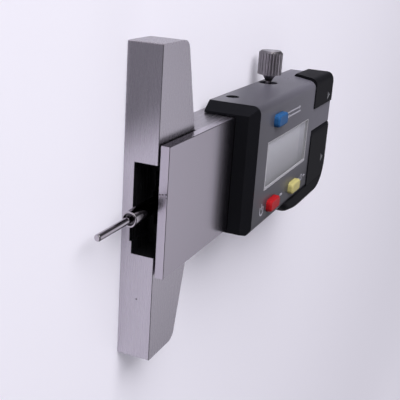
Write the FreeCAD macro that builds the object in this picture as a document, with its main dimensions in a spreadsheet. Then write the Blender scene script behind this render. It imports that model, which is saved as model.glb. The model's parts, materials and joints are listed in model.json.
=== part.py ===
"""Digital pit depth gauge, lying on its back with the display up.

Lengths are millimetres. In the drawings X starts at the measuring face and runs along the beam,
Y runs along the base towards the lock screw and Z is the height above the surface it lies on.
Every piece is then shifted along X so that the middle of the whole gauge stands over the origin.
"""
import FreeCAD, Part
import os
import re
import Sketcher

os.makedirs("parts", exist_ok=True)
doc = FreeCAD.newDocument("pit_depth_gauge")

# Driving dimensions
DIMENSIONS = {
    "Base block": {
        "base_length": 100.0,
        "base_thickness": 11.5,
        "base_end_depth": 17.2,
        "base_mid_depth": 25.0,
        "base_corner": 4.0,
        "base_slot_width": 29.4,
        "base_slot_depth": 7.85,
        "relief_width": 8.7,
        "relief_middle": -6.35,
        "relief_depth": 0.75,
    },
    "Frame and front plate": {
        "neck_width": 41.8,
        "tongue_start": 11.0,
        "tongue_play": 0.05,
        "frame_end": 153.0,
        "plate_gap": 0.73,
        "plate_thickness": 2.86,
        "plate_length": 57.0,
        "lip_thickness": 1.3,
        "lip_width": 1.6,
        "slide_play": 0.05,
        "groove_play": 0.3,
        "edge_break": 0.15,
    },
    "Beam and needle": {
        "beam_width": 16.0,
        "beam_thickness": 4.0,
        "beam_front": 14.0,
        "travel_out": 23.0,
        "travel_in": 27.0,
        "scale_width": 11.0,
        "scale_thickness": 0.6,
        "stop_thickness": 2.6,
        "stop_width": 19.0,
        "stop_height": 9.6,
        "stop_play": 0.3,
        "holder_diameter": 5.0,
        "holder_reach": 9.3,
        "holder_thread": 2.5,
        "holder_thread_length": 7.0,
        "needle_diameter": 2.15,
        "needle_seat": 7.0,
        "needle_tip_round": 0.45,
        "needle_fit": 0.02,
        "holder_mouth": 3.1,
        "holder_mouth_depth": 0.8,
        "holder_chamfer": 0.4,
        "beam_nose": 0.8,
        "scale_inset": 4.0,
        "stop_corner": 2.0,
    },
    "Gib and lock screw": {
        "gib_thickness": 1.5,
        "gib_inset": 3.0,
        "gib_slot": 0.6,
        "gib_screw_place": 67.0,
        "gib_screw_diameter": 3.0,
        "gib_screw_length": 8.0,
        "gib_access_diameter": 5.0,
        "lock_place": 107.3,
        "lock_shank_diameter": 2.5,
        "lock_head_diameter": 9.8,
        "lock_head_start": 28.6,
        "lock_head_length": 9.6,
        "lock_head_chamfer": 0.9,
        "lock_cone_diameter": 6.0,
        "lock_cone_length": 2.8,
        "lock_flutes": 24.0,
        "lock_flute_diameter": 1.0,
        "lock_flute_depth": 0.35,
        "lock_hole_diameter": 7.6,
        "lock_pad_thickness": 1.2,
        "turning_play": 0.05,
    },
    "Housing": {
        "housing_start": 51.8,
        "cap_depth": 4.2,
        "cap_bevel": 3.2,
        "cap_front_bevel": 2.9,
        "cap_low_bevel": 1.1,
        "cap_rim": 0.2,
        "housing_end": 157.0,
        "housing_top": 25.0,
        "housing_bottom": -23.2,
        "housing_back": 3.2,
        "housing_front": 23.0,
        "housing_round": 3.0,
        "housing_corner": 5.0,
        "cover_skin": 1.0,
        "skin_play": 0.05,
        "shell_wall": 1.3,
        "neck_play": 0.15,
        "ledge_thickness": 2.4,
        "ledge_width": 1.1,
        "bay_start": 61.0,
        "bay_end": 124.0,
    },
    "Thumb rest": {
        "thumb_start": 94.0,
        "thumb_heel_x": 100.0,
        "thumb_heel_y": -26.9,
        "thumb_level_x": 114.0,
        "thumb_bottom": -29.2,
        "thumb_back": 12.0,
        "thumb_heel_round": 12.0,
        "thumb_level_round": 60.0,
        "thumb_corner": 14.0,
        "grey_edge": -21.9,
    },
    "Display": {
        "window_left": 66.9,
        "window_right": 119.9,
        "window_low": -8.7,
        "window_high": 9.9,
        "window_thickness": 0.9,
        "window_sink": 0.25,
        "window_play": 0.1,
        "display_border": 2.0,
        "display_thickness": 2.2,
        "board_thickness": 1.6,
        "board_play": 0.2,
        "board_edge": 0.3,
        "holder_wall": 1.5,
    },
    "Keys": {
        "key_length": 10.8,
        "key_width": 4.8,
        "key_corner": 1.8,
        "key_edge": 0.9,
        "key_rise": 2.2,
        "key_play": 0.15,
        "key_flange": 1.0,
        "key_flange_thickness": 1.0,
        "key_travel": 0.8,
        "key_rest_play": 0.05,
        "key_stem_diameter": 3.0,
        "upper_key_x": 77.0,
        "upper_key_y": 17.1,
        "lower_key_x": 77.0,
        "lower_key_y": -16.1,
        "zero_key_x": 104.4,
        "mat_thickness": 1.2,
        "mat_width": 4.6,
        "dome_diameter": 4.0,
        "dome_height": 1.4,
    },
    "Battery and port": {
        "covers_start": 126.0,
        "battery_cover_top": 3.4,
        "port_cover_low": 13.0,
        "port_cover_back": 10.5,
        "port_cover_slant": 8.0,
        "cover_wall": 2.0,
        "cover_rise": 0.5,
        "port_rise": 1.2,
        "port_bevel": 1.0,
        "cover_end_low": 13.6,
        "battery_end_side": -16.6,
        "cover_play": 0.1,
        "mark_x": 148.5,
        "port_mark_y": 16.4,
        "battery_mark_y": -13.0,
        "mark_length": 4.4,
        "mark_width": 4.2,
        "mark_depth": 0.2,
        "battery_diameter": 20.0,
        "battery_thickness": 3.2,
        "battery_x": 140.5,
        "battery_y": -9.2,
        "battery_play": 0.25,
        "cell_step": 0.5,
        "contact_width": 4.0,
        "contact_thickness": 0.3,
        "port_x": 143.0,
        "port_y": 18.2,
        "port_length": 11.0,
        "port_width": 4.4,
        "port_depth": 2.0,
        "port_pad_pitch": 2.4,
        "port_pad_width": 0.9,
        "port_pad_thickness": 0.2,
    },
    "Screws": {
        "small_screw_diameter": 2.0,
        "small_screw_head": 3.8,
        "small_screw_head_length": 1.2,
        "small_screw_bite": 3.4,
        "screw_sink": 0.2,
        "base_screw_side": 11.0,
        "plate_screw_side": 16.0,
        "housing_screw_side": 16.5,
        "stop_screw_side": 4.5,
        "plate_screw_inset": 9.0,
        "plate_screw_pitch": 17.0,
        "housing_screw_lead": 1.9,
        "housing_screw_inset": 5.0,
        "base_screw_cover": 2.0,
        "plate_screw_bite": 2.0,
        "stop_screw_length": 6.0,
        "screw_fit": 0.02,
    },
}

# Count of pads in the data port
PORT_PADS = 4

# Dimensions worked out from the driving ones
DERIVED = {
    "needle_reach": "travel_in",
    "frame_thickness": "base_thickness + plate_gap",
    "beam_axis": "base_thickness - base_slot_depth / 2",
    "beam_low": "beam_axis - beam_thickness / 2",
    "beam_high": "beam_axis + beam_thickness / 2",
    "channel_low": "beam_low - slide_play",
    "channel_high": "beam_high + slide_play",
    "deck": "channel_high + lip_thickness",
    "channel_edge": "beam_width / 2 + slide_play",
    "gib_edge": "channel_edge + gib_thickness + slide_play",
    "beam_back": "housing_end + stop_play + travel_out",
    "step_start": "plate_length",
    "board_low": "deck + board_play",
    "board_high": "board_low + board_thickness",
    "cap_end": "housing_start + cap_depth",
    "skin_inside": "housing_front - cover_skin",
    "shell_front": "skin_inside - skin_play",
    "display_high": "housing_front - window_sink - window_thickness",
    "key_base": "board_high + mat_thickness + dome_height + key_travel + key_rest_play",
    "key_flange_high": "skin_inside - key_rest_play",
    "cover_inside": "housing_front - cover_wall",
    "black_front": "housing_front + cover_rise",
    "port_top": "housing_top + port_rise",
    "battery_low": "cover_inside - battery_play - battery_thickness",
    "origin_shift": "(beam_back + stop_thickness - needle_reach) / 2",
}

sheet = doc.addObject("Spreadsheet::Sheet", "dims")
row = 1
for group, values in DIMENSIONS.items():
    sheet.set("A%d" % row, group)
    row += 1
    for alias, size in values.items():
        sheet.set("A%d" % row, alias)
        sheet.set("B%d" % row, str(size))
        sheet.setAlias("B%d" % row, alias)
        row += 1
for alias, formula in DERIVED.items():
    sheet.set("A%d" % row, alias)
    sheet.set("B%d" % row, "=" + formula)
    sheet.setAlias("B%d" % row, alias)
    row += 1
doc.recompute()

parts = []

# How near two places lie that count as one
TOUCH = 1e-3


def full(expression):
    """The expression with every word read from the sheet."""
    return re.sub(r"[a-z][a-z_]*", lambda word: "dims." + word.group(), str(expression))


def number(expression):
    """The present value of an expression."""
    return float(sheet.evalExpression(full(expression)))


def plane(body, role):
    """One of the body's own origin planes."""
    return next(item for item in body.Origin.OriginFeatures if item.Role == role)


def new_body(label, kept=True):
    """An empty body; a kept one is a piece of the gauge."""
    body = doc.addObject("PartDesign::Body", label)
    body.Label = label
    body.setExpression("Placement.Base.x", full("-origin_shift"))
    if kept:
        parts.append(body)
    return body


def new_sketch(body, name, role, height):
    """A sketch parallel to an origin plane, at a height along that plane's normal."""
    sketch = body.newObject("Sketcher::SketchObject", body.Label + "_" + name)
    sketch.AttachmentSupport = [(plane(body, role), "")]
    sketch.MapMode = "FlatFace"
    sketch.setExpression("AttachmentOffset.Base.z", full(height))
    return sketch


def fix(sketch, geometry, point, position):
    """Ties one point of the sketch to a pair of expressions."""
    for kind, expression in zip(("DistanceX", "DistanceY"), position):
        rule = Sketcher.Constraint(kind, -1, 1, geometry, point, number(expression))
        index = sketch.addConstraint(rule)
        sketch.setExpression("Constraints[%d]" % index, full(expression))


def draw_outline(sketch, corners):
    """A closed outline of straight edges through corners given as pairs of expressions."""
    ends = [FreeCAD.Vector(number(x), number(y), 0) for x, y in corners]
    first = sketch.GeometryCount
    for index, end in enumerate(ends):
        sketch.addGeometry(Part.LineSegment(ends[index - 1], end))
    for index, corner in enumerate(corners):
        after = (index + 1) % len(corners)
        sketch.addConstraint(Sketcher.Constraint("Coincident", first + index, 2, first + after, 1))
        fix(sketch, first + index, 2, corner)


def rectangle(sketch, left, low, right, high):
    """A rectangle given by its four sides."""
    draw_outline(sketch, [(left, low), (right, low), (right, high), (left, high)])


def circle(sketch, x, y, diameter):
    """A circle given by its middle and diameter."""
    middle = FreeCAD.Vector(number(x), number(y), 0)
    index = sketch.addGeometry(Part.Circle(middle, FreeCAD.Vector(0, 0, 1), number(diameter) / 2))
    fix(sketch, index, 3, (x, y))
    rule = sketch.addConstraint(Sketcher.Constraint("Diameter", index, number(diameter)))
    sketch.setExpression("Constraints[%d]" % rule, full(diameter))


def pad(body, sketch, length, reverse=False):
    """Adds material from the sketch along its normal."""
    feature = body.newObject("PartDesign::Pad", sketch.Name + "_pad")
    feature.Profile = sketch
    feature.setExpression("Length", full(length))
    feature.Reversed = reverse
    return settle(body, feature)


def pocket(body, sketch, depth, reverse=False):
    """Cuts material behind the sketch; reversed, it cuts in front of it."""
    before = body.Shape.Volume
    feature = body.newObject("PartDesign::Pocket", sketch.Name + "_pocket")
    feature.Profile = sketch
    feature.setExpression("Length", full(depth))
    feature.Reversed = reverse
    settle(body, feature)
    if body.Shape.Volume > before - 1e-4:
        raise ValueError(feature.Name + " cuts nothing")
    return feature


def revolve(body, sketch, axis="V_Axis"):
    """Turns a half profile a full turn about an axis of its sketch."""
    feature = body.newObject("PartDesign::Revolution", sketch.Name + "_turn")
    feature.Profile = sketch
    feature.ReferenceAxis = (sketch, [axis])
    feature.Angle = 360
    return settle(body, feature)


def settle(body, feature):
    """Makes the feature the tip and works it out."""
    body.Tip = feature
    doc.recompute()
    if "Invalid" in feature.State or feature.Shape.isNull():
        raise ValueError(feature.Name + " can't be worked out")
    return feature


def edges_where(body, test):
    """The tip with the names of its edges that pass a test on the edge's box."""
    tip = body.Tip
    names = ["Edge%d" % (i + 1) for i, edge in enumerate(tip.Shape.Edges) if test(edge.BoundBox)]
    return tip, names


def near(value, expression):
    """True where a coordinate lies at an expression's value."""
    return abs(value - number(expression)) < TOUCH


def fillet(body, name, radius, test):
    """Rounds the edges that pass the test."""
    base = edges_where(body, test)
    feature = body.newObject("PartDesign::Fillet", body.Label + "_" + name)
    feature.Base = base
    feature.setExpression("Radius", full(radius))
    return settle(body, feature)


def chamfer(body, name, size, test):
    """Breaks the edges that pass the test."""
    base = edges_where(body, test)
    feature = body.newObject("PartDesign::Chamfer", body.Label + "_" + name)
    feature.Base = base
    feature.setExpression("Size", full(size))
    return settle(body, feature)


def hollow(body, wall, test):
    """Hollows the body to a wall, open at the faces that pass the test."""
    tip = body.Tip
    names = ["Face%d" % (i + 1) for i, face in enumerate(tip.Shape.Faces) if test(face.BoundBox)]
    feature = body.newObject("PartDesign::Thickness", body.Label + "_hollow")
    feature.Base = (tip, names)
    feature.setExpression("Value", full(wall))
    feature.Reversed = True
    return settle(body, feature)


def block(body, name, x_sides, y_sides, z_sides):
    """Adds a block given by its six sides."""
    sketch = new_sketch(body, name, "XY_Plane", z_sides[0])
    rectangle(sketch, x_sides[0], y_sides[0], x_sides[1], y_sides[1])
    return pad(body, sketch, "(%s) - (%s)" % (z_sides[1], z_sides[0]))


def cavity(body, name, x_sides, y_sides, z_sides):
    """Cuts a block given by its six sides."""
    sketch = new_sketch(body, name, "XY_Plane", z_sides[1])
    rectangle(sketch, x_sides[0], y_sides[0], x_sides[1], y_sides[1])
    return pocket(body, sketch, "(%s) - (%s)" % (z_sides[1], z_sides[0]))


def bore_up(body, name, places, diameter, low, high):
    """Cuts round holes along Z between two heights."""
    sketch = new_sketch(body, name, "XY_Plane", high)
    for x, y in places:
        circle(sketch, x, y, diameter)
    return pocket(body, sketch, "(%s) - (%s)" % (high, low))


def bore_across(body, name, x, diameter, near_side, far_side):
    """Cuts a round hole along Y at the height of the beam."""
    sketch = new_sketch(body, name, "XZ_Plane", "-(%s)" % near_side)
    circle(sketch, x, "beam_axis", diameter)
    return pocket(body, sketch, "(%s) - (%s)" % (far_side, near_side))


def all_x_edges(box):
    """An edge that runs along X."""
    return box.YLength < TOUCH and box.ZLength < TOUCH


def upright(box):
    """An edge that runs along Z."""
    return box.XLength < TOUCH and box.YLength < TOUCH


def at_height(expression):
    """A test for edges that lie flat at one height."""
    return lambda box: near(box.ZMin, expression) and near(box.ZMax, expression)


def bore_along(body, name, places, diameter, start, end):
    """Cuts round holes along X between two places."""
    sketch = new_sketch(body, name, "YZ_Plane", end)
    for y, z in places:
        circle(sketch, y, z, diameter)
    return pocket(body, sketch, "(%s) - (%s)" % (end, start))


def discs(body, name, places, diameter, low, high):
    """Adds upright discs or rods between two heights."""
    sketch = new_sketch(body, name, "XY_Plane", low)
    for x, y in places:
        circle(sketch, x, y, diameter)
    return pad(body, sketch, "(%s) - (%s)" % (high, low))


def rods_along(body, name, places, diameter, start, end):
    """Adds rods along X between two places."""
    sketch = new_sketch(body, name, "YZ_Plane", start)
    for y, z in places:
        circle(sketch, y, z, diameter)
    return pad(body, sketch, "(%s) - (%s)" % (end, start))


# Where the screws stand, as pairs of expressions
HALF_NECK = "neck_width / 2"
PLATE_SCREWS = [(x, y) for x in ("plate_length - plate_screw_inset - plate_screw_pitch",
                                 "plate_length - plate_screw_inset")
                for y in ("-plate_screw_side", "plate_screw_side")]
BASE_SCREWS = [("(tongue_start + base_mid_depth) / 2", y)
               for y in ("-base_screw_side", "base_screw_side")]
HOUSING_SCREWS = [(x, y) for x in ("bay_start - housing_screw_lead", "frame_end - housing_screw_inset")
                  for y in ("-housing_screw_side", "housing_screw_side")]
STOP_SCREWS = [("-stop_screw_side", "beam_axis"), ("stop_screw_side", "beam_axis")]


def make_base_block():
    """The hardened base: tapered back edge, milled slot and its relief."""
    body = new_body("base_block")
    sketch = new_sketch(body, "outline", "XY_Plane", "0")
    draw_outline(sketch, [
        ("0", "-base_length / 2"),
        ("base_end_depth", "-base_length / 2"),
        ("base_mid_depth", "-neck_width / 2"),
        ("base_mid_depth", "neck_width / 2"),
        ("base_end_depth", "base_length / 2"),
        ("0", "base_length / 2"),
    ])
    pad(body, sketch, "base_thickness")
    fillet(body, "corners", "base_corner", lambda box: upright(box) and near(box.XMin, "base_end_depth"))
    chamfer(body, "front_edges", "edge_break", lambda box: near(box.XMax, "0"))
    floor = "base_thickness - base_slot_depth"
    slot_sides = ("-base_slot_width / 2", "base_slot_width / 2")
    cavity(body, "slot", ("0", "base_mid_depth"), slot_sides, (floor, "base_thickness"))
    relief_sides = ("relief_middle - relief_width / 2", "relief_middle + relief_width / 2")
    cavity(body, "relief", ("0", "base_mid_depth"), relief_sides, (floor + " - relief_depth", floor))
    screw_holes(body, BASE_SCREWS, floor)


def screw_holes(body, places, high):
    """Clearance holes up from the back, with room for sunk heads."""
    bore_up(body, "screw_holes", places, "small_screw_diameter + 2 * screw_fit", "0", high)
    bore_up(body, "screw_heads", places, "small_screw_head + 2 * screw_fit", "0", "small_screw_head_length")


def tapped_holes(body, places, low, high):
    """Holes that a screw's thread fills."""
    bore_up(body, "tapped_holes", places, "small_screw_diameter + 2 * screw_fit", low, high)


def make_screws(label, places, high):
    """A set of equal screws driven from the back."""
    body = new_body(label)
    discs(body, "heads", places, "small_screw_head", "screw_sink", "small_screw_head_length")
    discs(body, "shanks", places, "small_screw_diameter", "small_screw_head_length", high)


def make_neck_frame():
    """The neck with its tongue in the base's slot and the T channel for the beam."""
    body = new_body("neck_frame")
    sides = ("-neck_width / 2", "neck_width / 2")
    block(body, "neck", ("base_mid_depth", "frame_end"), sides, ("0", "frame_thickness"))
    tongue_sides = ("-base_slot_width / 2 + tongue_play", "base_slot_width / 2 - tongue_play")
    tongue_low = "base_thickness - base_slot_depth + tongue_play"
    block(body, "tongue", ("tongue_start", "base_mid_depth"), tongue_sides, (tongue_low, "frame_thickness"))
    cavity(body, "step", ("step_start", "frame_end"), sides, ("deck", "frame_thickness"))
    sketch = new_sketch(body, "channel", "YZ_Plane", "frame_end")
    mouth = "beam_width / 2 - lip_width"
    groove = "holder_diameter / 2 + groove_play"
    draw_outline(sketch, [
        ("-channel_edge", "channel_low"),
        ("-(%s)" % groove, "channel_low"),
        ("-(%s)" % groove, "beam_axis - (%s)" % groove),
        (groove, "beam_axis - (%s)" % groove),
        (groove, "channel_low"),
        ("gib_edge", "channel_low"),
        ("gib_edge", "channel_high"),
        (mouth, "channel_high"),
        (mouth, "frame_thickness"),
        ("-(%s)" % mouth, "frame_thickness"),
        ("-(%s)" % mouth, "channel_high"),
        ("-channel_edge", "channel_high"),
    ])
    pocket(body, sketch, "frame_end - tongue_start")
    bore_across(body, "lock_hole", "lock_place", "lock_shank_diameter + 2 * turning_play",
                "gib_edge", HALF_NECK)
    bore_across(body, "gib_hole", "gib_screw_place", "gib_screw_diameter + 2 * screw_fit",
                "gib_edge", HALF_NECK)
    bore_up(body, "base_tapped", BASE_SCREWS, "small_screw_diameter + 2 * screw_fit",
            tongue_low, "frame_thickness - base_screw_cover")
    screw_holes(body, PLATE_SCREWS + HOUSING_SCREWS, "frame_thickness")


def make_front_plate():
    """The ground plate that covers the channel from the measuring face to the housing."""
    body = new_body("front_plate")
    high = "frame_thickness + plate_thickness"
    sides = ("-neck_width / 2", "neck_width / 2")
    block(body, "plate", ("0", "plate_length"), sides, ("frame_thickness", high))
    chamfer(body, "edges", "edge_break", at_height(high))
    tapped_holes(body, PLATE_SCREWS, "frame_thickness", "frame_thickness + plate_screw_bite")


def make_slide_beam():
    """The flat beam that slides in the channel."""
    body = new_body("slide_beam")
    sides = ("-beam_width / 2", "beam_width / 2")
    block(body, "bar", ("beam_front", "beam_back"), sides, ("beam_low", "beam_high"))
    chamfer(body, "nose", "beam_nose", lambda box: upright(box) and near(box.XMin, "beam_front"))
    bore_along(body, "holder_thread", [("0", "beam_axis")], "holder_thread + 2 * screw_fit",
               "beam_front", "beam_front + holder_thread_length + screw_fit")
    bore_along(body, "stop_threads", STOP_SCREWS, "small_screw_diameter + 2 * screw_fit",
               "beam_back + stop_thickness - stop_screw_length", "beam_back")


def make_beam_scale():
    """The thin measuring strip glued along the beam."""
    body = new_body("beam_scale")
    sides = ("-scale_width / 2", "scale_width / 2")
    block(body, "strip", ("beam_front + scale_inset", "beam_back - scale_inset"), sides,
          ("beam_high", "beam_high + scale_thickness"))


def make_beam_stop():
    """The end plate that stops the beam at its longest reach."""
    body = new_body("beam_stop")
    sketch = new_sketch(body, "plate", "YZ_Plane", "beam_back")
    low, high = "beam_axis - stop_height / 2", "beam_axis + stop_height / 2"
    rectangle(sketch, "-stop_width / 2", low, "stop_width / 2", high)
    pad(body, sketch, "stop_thickness")
    fillet(body, "corners", "stop_corner", all_x_edges)
    end = "beam_back + stop_thickness"
    bore_along(body, "screw_holes", STOP_SCREWS, "small_screw_diameter + 2 * screw_fit", "beam_back", end)
    bore_along(body, "screw_heads", STOP_SCREWS, "small_screw_head + 2 * screw_fit",
               end + " - small_screw_head_length", end)


def make_stop_screws():
    """The two screws that hold the end plate."""
    body = new_body("stop_screws")
    head = "beam_back + stop_thickness - small_screw_head_length"
    rods_along(body, "heads", STOP_SCREWS, "small_screw_head", head,
               "beam_back + stop_thickness - screw_sink")
    rods_along(body, "shanks", STOP_SCREWS, "small_screw_diameter",
               "beam_back + stop_thickness - stop_screw_length + screw_fit", head)


def axis_sketch(body, name):
    """A sketch in the upright middle plane whose first axis is the needle's axis."""
    sketch = new_sketch(body, name, "XZ_Plane", "0")
    sketch.setExpression("AttachmentOffset.Base.y", full("beam_axis"))
    return sketch


def make_needle_holder():
    """The turned holder screwed into the beam, bored for the needle."""
    body = new_body("needle_holder")
    sketch = axis_sketch(body, "profile")
    bore = "needle_diameter / 2 + needle_fit"
    outside = "holder_diameter / 2"
    draw_outline(sketch, [
        ("-holder_reach + holder_mouth_depth", bore),
        ("-holder_reach + holder_mouth_depth", "holder_mouth / 2"),
        ("-holder_reach", "holder_mouth / 2"),
        ("-holder_reach", outside + " - holder_chamfer"),
        ("-holder_reach + holder_chamfer", outside),
        ("beam_front", outside),
        ("beam_front", "holder_thread / 2"),
        ("beam_front + holder_thread_length", "holder_thread / 2"),
        ("beam_front + holder_thread_length", "0"),
        ("-holder_reach + needle_seat", "0"),
        ("-holder_reach + needle_seat", bore),
    ])
    revolve(body, sketch, "H_Axis")


def make_needle():
    """The measuring needle with its rounded tip."""
    body = new_body("needle")
    sketch = axis_sketch(body, "profile")
    end = "-holder_reach + needle_seat - needle_fit"
    draw_outline(sketch, [
        ("-needle_reach", "0"),
        (end, "0"),
        (end, "needle_diameter / 2"),
        ("-needle_reach", "needle_diameter / 2"),
    ])
    revolve(body, sketch, "H_Axis")
    fillet(body, "tip", "needle_tip_round", lambda box: near(box.XMax, "-needle_reach"))


def make_gib_strip():
    """The brass strip that takes up the beam's side play."""
    body = new_body("gib_strip")
    block(body, "strip", ("step_start", "frame_end - gib_inset"),
          ("channel_edge", "channel_edge + gib_thickness"),
          ("channel_low + slide_play", "channel_high - slide_play"))


def make_gib_screw():
    """The slotted set screw that presses the gib strip."""
    body = new_body("gib_screw")
    sketch = new_sketch(body, "rod", "XZ_Plane", "-gib_edge")
    circle(sketch, "gib_screw_place", "beam_axis", "gib_screw_diameter")
    pad(body, sketch, "gib_screw_length", reverse=True)
    end = "gib_edge + gib_screw_length"
    cavity(body, "slot", ("gib_screw_place - gib_slot / 2", "gib_screw_place + gib_slot / 2"),
           (end + " - 2 * gib_slot", end),
           ("beam_axis - gib_screw_diameter", "beam_axis + gib_screw_diameter"))


def make_lock_pad():
    """The brass plug between the lock screw and the gib strip."""
    body = new_body("lock_pad")
    sketch = new_sketch(body, "plug", "XZ_Plane", "-gib_edge")
    circle(sketch, "lock_place", "beam_axis", "lock_shank_diameter")
    pad(body, sketch, "lock_pad_thickness", reverse=True)


def make_lock_screw():
    """The knurled lock screw: shank, cone, fluted head with bevelled rims."""
    body = new_body("lock_screw")
    sketch = new_sketch(body, "profile", "XY_Plane", "beam_axis")
    sketch.setExpression("AttachmentOffset.Base.x", full("lock_place"))
    tip = "gib_edge + lock_pad_thickness + turning_play"
    head_end = "lock_head_start + lock_head_length"
    head = "lock_head_diameter / 2"
    draw_outline(sketch, [
        ("0", tip),
        ("lock_shank_diameter / 2", tip),
        ("lock_shank_diameter / 2", "lock_head_start - lock_cone_length"),
        ("lock_cone_diameter / 2", "lock_head_start"),
        (head, "lock_head_start"),
        (head, head_end + " - lock_head_chamfer"),
        (head + " - lock_head_chamfer", head_end),
        ("0", head_end),
    ])
    revolve(body, sketch)
    flute = new_sketch(body, "flute", "XZ_Plane", "-lock_head_start + lock_cone_length")
    flute.setExpression("AttachmentOffset.Base.x", full("lock_place"))
    flute.setExpression("AttachmentOffset.Base.y", full("beam_axis"))
    circle(flute, "0", head + " + lock_flute_diameter / 2 - lock_flute_depth", "lock_flute_diameter")
    cut = pocket(body, flute, "lock_head_length + lock_cone_length")
    ring = body.newObject("PartDesign::PolarPattern", "lock_flute_ring")
    ring.Originals = [cut]
    ring.Axis = (flute, ["N_Axis"])
    ring.Angle = 360
    ring.setExpression("Occurrences", full("lock_flutes"))
    settle(body, ring)


def make_end_cap():
    """The black bezel round the neck, bevelled along its upper, lower and front edges."""
    body = new_body("end_cap")
    block(body, "plate", ("housing_start", "cap_end"), ("housing_bottom", "housing_top"),
          ("housing_back", "housing_front"))
    fillet(body, "corners", "housing_round", lambda box: all_x_edges(box) and near(box.ZMin, "housing_front"))
    for side, outer, inner in (("upper", "housing_top", "housing_top - cap_bevel"),
                               ("lower", "housing_bottom", "housing_bottom + cap_low_bevel")):
        wedge = new_sketch(body, side + "_bevel", "XY_Plane", "housing_front")
        draw_outline(wedge, [
            ("housing_start", inner),
            ("housing_start", outer),
            ("cap_end - cap_rim", outer),
        ])
        pocket(body, wedge, "housing_front - housing_back")
    wedge = new_sketch(body, "front_bevel", "XZ_Plane", "-housing_bottom")
    draw_outline(wedge, [
        ("housing_start", "housing_front - cap_front_bevel"),
        ("housing_start", "housing_front"),
        ("cap_end - cap_rim", "housing_front"),
    ])
    pocket(body, wedge, "housing_top - housing_bottom")
    neck_opening(body, "cap_end")


def neck_opening(body, end):
    """The opening that straddles the neck and its front plate."""
    half = "neck_width / 2 + neck_play"
    cavity(body, "neck_opening", ("housing_start", end), ("-(%s)" % half, half),
           ("housing_back", "frame_thickness + plate_thickness + neck_play"))


def key_places():
    """Each key's label and the expressions of its middle."""
    return [("blue", "upper_key_x", "upper_key_y"),
            ("red", "lower_key_x", "lower_key_y"),
            ("yellow", "zero_key_x", "lower_key_y")]


def round_front(body, name, radius, left, inset):
    """Rounds a housing form's front edges, not the one at its left end."""
    height = "housing_front - (%s)" % inset
    fillet(body, name, radius, lambda box: near(box.ZMin, height) and near(box.ZMax, height)
           and not near(box.XMax, left))


def make_front_cover():
    """The grey metal cover: a thin shell with the window, the keys and the top holes cut out."""
    body = new_body("front_cover")
    block(body, "form", ("cap_end", "housing_end"), ("housing_bottom", "housing_top"),
          ("housing_back", "housing_front"))
    fillet(body, "corner", "housing_corner",
           lambda box: upright(box) and near(box.XMax, "housing_end") and near(box.YMax, "housing_top"))
    round_front(body, "edges", "housing_round", "cap_end", "0")
    hollow(body, "cover_skin", lambda box: near(box.ZMax, "housing_back") or near(box.XMax, "cap_end"))
    whole = ("housing_back", "housing_front")
    cavity(body, "thumb_side", ("thumb_start", "housing_end"), ("housing_bottom", "grey_edge"), whole)
    cavity(body, "battery_side", ("covers_start", "housing_end"),
           ("housing_bottom", "battery_cover_top"), whole)
    port_cut(body, "port_side", "0", "port_cover_low", "housing_top")
    cavity(body, "window", ("window_left", "window_right"), ("window_low", "window_high"),
           ("skin_inside", "housing_front"))
    chamfer(body, "window_edge", "edge_break",
            lambda box: near(box.ZMin, "housing_front") and near(box.ZMax, "housing_front")
            and box.XMin > number("window_left") - TOUCH and box.XMax < number("window_right") + TOUCH
            and box.YMin > number("window_low") - TOUCH and box.YMax < number("window_high") + TOUCH)
    for label, x, y in key_places():
        key_block(body, label + "_hole", x, y, "key_play", "skin_inside", "housing_front", cut=True)
    wall = "housing_top - cover_skin"
    bore_across(body, "lock_hole", "lock_place", "lock_hole_diameter", wall, "housing_top")
    bore_across(body, "gib_hole", "gib_screw_place", "gib_access_diameter", wall, "housing_top")
    beam_exit(body)


def beam_exit(body):
    """The way out through the housing's end for the beam."""
    half = "beam_width / 2 + groove_play"
    cavity(body, "beam_exit", ("frame_end", "housing_end"), ("-(%s)" % half, half),
           ("housing_back", "deck"))


def port_cut(body, name, play, low, high):
    """Cuts the port cover's place, with its slanting left side on the top face."""
    sketch = new_sketch(body, name, "XZ_Plane", "-(%s)" % low)
    left = "covers_start - (%s)" % play
    draw_outline(sketch, [
        (left, "housing_front"),
        (left, "cover_inside - (%s)" % play),
        (left + " + port_cover_slant", "port_cover_back - (%s)" % play),
        ("housing_end", "port_cover_back - (%s)" % play),
        ("housing_end", "housing_front"),
    ])
    pocket(body, sketch, "(%s) - (%s)" % (high, low))


def key_block(body, name, x, y, play, low, high, cut=False):
    """A key's round-cornered block, added or cut."""
    sketch = new_sketch(body, name, "XY_Plane", high if cut else low)
    half_x, half_y = "(key_length / 2 + %s)" % play, "(key_width / 2 + %s)" % play
    rectangle(sketch, "%s - %s" % (x, half_x), "%s - %s" % (y, half_y),
              "%s + %s" % (x, half_x), "%s + %s" % (y, half_y))
    depth = "(%s) - (%s)" % (high, low)
    if cut:
        pocket(body, sketch, depth)
    else:
        pad(body, sketch, depth)
    mid_x, mid_y = number(x), number(y)
    reach_x, reach_y = number(half_x) + TOUCH, number(half_y) + TOUCH
    level = number(low)
    fillet(body, name + "_corners", "key_corner + (%s)" % play,
           lambda box: upright(box) and abs(box.XMin - mid_x) < reach_x and abs(box.YMin - mid_y) < reach_y
           and abs(box.ZMin - level) < TOUCH)


def make_key(label, x, y):
    """A key: cap, retaining flange and stem."""
    body = new_body(label + "_key")
    key_block(body, "cap", x, y, "0", "key_flange_high", "housing_front + key_rise")
    fillet(body, "cap_edge", "key_edge", at_height("housing_front + key_rise"))
    half_x, half_y = "(key_length / 2 + key_flange)", "(key_width / 2 + key_flange)"
    flange_low = "key_flange_high - key_flange_thickness"
    block(body, "flange", ("%s - %s" % (x, half_x), "%s + %s" % (x, half_x)),
          ("%s - %s" % (y, half_y), "%s + %s" % (y, half_y)), (flange_low, "key_flange_high"))
    discs(body, "stem", [(x, y)], "key_stem_diameter", "key_base", flange_low)


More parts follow.
